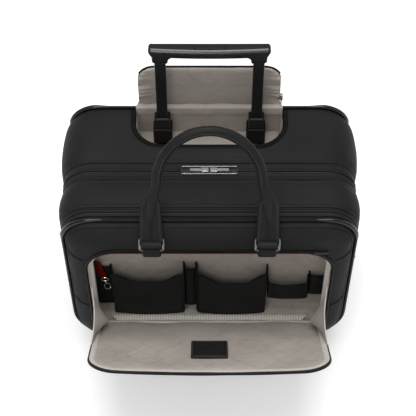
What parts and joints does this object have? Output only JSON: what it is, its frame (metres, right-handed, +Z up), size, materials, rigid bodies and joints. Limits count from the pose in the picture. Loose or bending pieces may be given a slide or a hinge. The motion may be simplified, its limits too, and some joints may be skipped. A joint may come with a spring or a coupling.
{
  "type": "pilot rolling flight case",
  "caption": "Soft-sided two-wheeled rolling case with a telescoping handle in a covered well, arched carry handle, zipped sections and a drop-front organiser pocket.",
  "frame": {"origin": "on the ground, under the middle of the case as it stands with its front pocket dropped open", "axes": "+Z up, +X to the right as seen from the front, +Y towards the back where the trolley handle is"},
  "size_m": [0.428, 0.3744, 0.487],
  "materials": {
    "nylon_body": "matte fine-weave nylon",
    "leather_trim": "satin fine-grain leather",
    "lining": "satin woven lining",
    "zip_tape": "matte woven tape",
    "gloss_guard": "gloss",
    "black_plastic": "satin",
    "wheel_rubber": "matte",
    "dark_tube": "dark anodised satin",
    "nickel": "polished nickel",
    "gunmetal": "dark gunmetal",
    "red_webbing": "woven strap"
  },
  "bodies": {
    "case": {"rear_shell": "nylon_body", "back_panel": "nylon_body", "trunk_lining": "lining", "trolley_well": "lining", "main_zip": "zip_tape", "zip_garage": "nickel", "rear_piping": "leather_trim", "rear_guard_left": "gloss_guard", "rear_guard_right": "gloss_guard", "base_plate": "black_plastic", "front_foot_left": "wheel_rubber", "front_foot_right": "wheel_rubber", "wheel_housing_left": "black_plastic", "wheel_housing_right": "black_plastic", "axle_left": "gunmetal", "axle_right": "gunmetal", "outer_tubes": "dark_tube", "trolley_socket_left": "black_plastic", "trolley_socket_right": "black_plastic"},
    "wheel_left": {"wheel_left": "wheel_rubber"},
    "wheel_right": {"wheel_right": "wheel_rubber"},
    "trolley_lower": {"lower_tube_left": "dark_tube", "lower_tube_right": "dark_tube"},
    "trolley_middle": {"middle_tube_left": "dark_tube", "middle_tube_right": "dark_tube"},
    "trolley_upper": {"upper_tube_left": "dark_tube", "upper_tube_right": "dark_tube", "trolley_grip": "black_plastic"},
    "release_button": {"release_button": "black_plastic"},
    "cover_flap": {"cover_flap": "nylon_body", "cover_flap_lining": "lining"},
    "cover_pull": {"cover_pull": "nickel"},
    "middle_section": {"middle_shell": "nylon_body", "middle_divider": "lining", "laptop_sleeve": "lining", "front_zip": "zip_tape"},
    "front_door": {"front_panel": "nylon_body", "pocket_liner": "lining", "front_piping": "leather_trim", "front_guard_left": "gloss_guard", "front_guard_right": "gloss_guard", "phone_pocket_left": "nylon_body", "phone_pocket_right": "nylon_body", "pen_pocket": "nylon_body", "earbud_pocket": "nylon_body", "handle_base_left": "leather_trim", "handle_base_right": "leather_trim", "gusset_left": "nylon_body", "gusset_right": "nylon_body"},
    "pocket_flap": {"pocket_flap": "nylon_body", "pocket_flap_lining": "lining"},
    "carry_handle": {"carry_handle": "leather_trim", "handle_ring_left": "gunmetal", "handle_ring_right": "gunmetal"},
    "key_leash": {"key_leash": "red_webbing"},
    "main_pull_left": {"main_pull_left": "nickel"},
    "main_pull_right": {"main_pull_right": "nickel"},
    "front_pull_left": {"front_pull_left": "nickel"},
    "front_pull_right": {"front_pull_right": "nickel"},
    "pocket_pull": {"pocket_pull": "gunmetal"}
  },
  "joints": [
    {"name": "wheel_left_spin", "type": "hinge", "parent": "case", "child": "wheel_left", "pos_m": [-0.1552, 0.15324, 0.034], "axis": [1, 0, 0], "continuous": true},
    {"name": "wheel_right_spin", "type": "hinge", "parent": "case", "child": "wheel_right", "pos_m": [0.1552, 0.15324, 0.034], "axis": [1, 0, 0], "continuous": true},
    {"name": "trolley_lower_slide", "type": "slide", "parent": "case", "child": "trolley_lower", "axis": [0, 0, 1], "range_m": [-0.0365, 0.1735]},
    {"name": "trolley_middle_slide", "type": "slide", "parent": "trolley_lower", "child": "trolley_middle", "axis": [0, 0, 1], "range_m": [0, 0.205]},
    {"name": "trolley_upper_slide", "type": "slide", "parent": "trolley_middle", "child": "trolley_upper", "axis": [0, 0, 1], "range_m": [-0.1105, 0.09]},
    {"name": "button_press", "type": "slide", "parent": "trolley_upper", "child": "release_button", "axis": [0, 0, -1], "range_m": [0, 0.0025], "stiffness_N_per_m": 400},
    {"name": "cover_flap_hinge", "type": "hinge", "parent": "case", "child": "cover_flap", "pos_m": [0, 0.17874, 0.3425], "axis": [1, 0, 0], "range_deg": [-140, 11]},
    {"name": "cover_pull_slide", "type": "slide", "parent": "cover_flap", "child": "cover_pull", "axis": [0, 0.0523, 0.9986], "range_m": [0, 0.04]},
    {"name": "middle_section_hinge", "type": "hinge", "parent": "case", "child": "middle_section", "pos_m": [0, -0.01276, 0.0275], "axis": [1, 0, 0], "range_deg": [0, 20]},
    {"name": "front_door_hinge", "type": "hinge", "parent": "middle_section", "child": "front_door", "pos_m": [0, -0.01826, 0.0275], "axis": [1, 0, 0], "range_deg": [0, 28]},
    {"name": "pocket_flap_hinge", "type": "hinge", "parent": "front_door", "child": "pocket_flap", "pos_m": [0, -0.04126, 0.094], "axis": [1, 0, 0], "range_deg": [-52.5, 0]},
    {"name": "carry_handle_hinge", "type": "hinge", "parent": "front_door", "child": "carry_handle", "pos_m": [0, -0.04996, 0.302], "axis": [1, 0, 0], "range_deg": [0, 135]},
    {"name": "key_leash_swing", "type": "hinge", "parent": "front_door", "child": "key_leash", "pos_m": [-0.158, -0.00926, 0.229], "axis": [1, 0, 0], "range_deg": [-14, 0]},
    {"name": "main_pull_left_slide", "type": "slide", "parent": "case", "child": "main_pull_left", "axis": [-1, 0, 0], "range_m": [0, 0.125]},
    {"name": "main_pull_right_slide", "type": "slide", "parent": "case", "child": "main_pull_right", "axis": [1, 0, 0], "range_m": [0, 0.125]},
    {"name": "front_pull_left_slide", "type": "slide", "parent": "middle_section", "child": "front_pull_left", "axis": [0, 0, -1], "range_m": [0, 0.165]},
    {"name": "front_pull_right_slide", "type": "slide", "parent": "middle_section", "child": "front_pull_right", "axis": [0, 0, -1], "range_m": [-0.06, 0.11]},
    {"name": "pocket_pull_slide", "type": "slide", "parent": "front_door", "child": "pocket_pull", "axis": [-1, 0, 0], "range_m": [0, 0.27]}
  ]
}
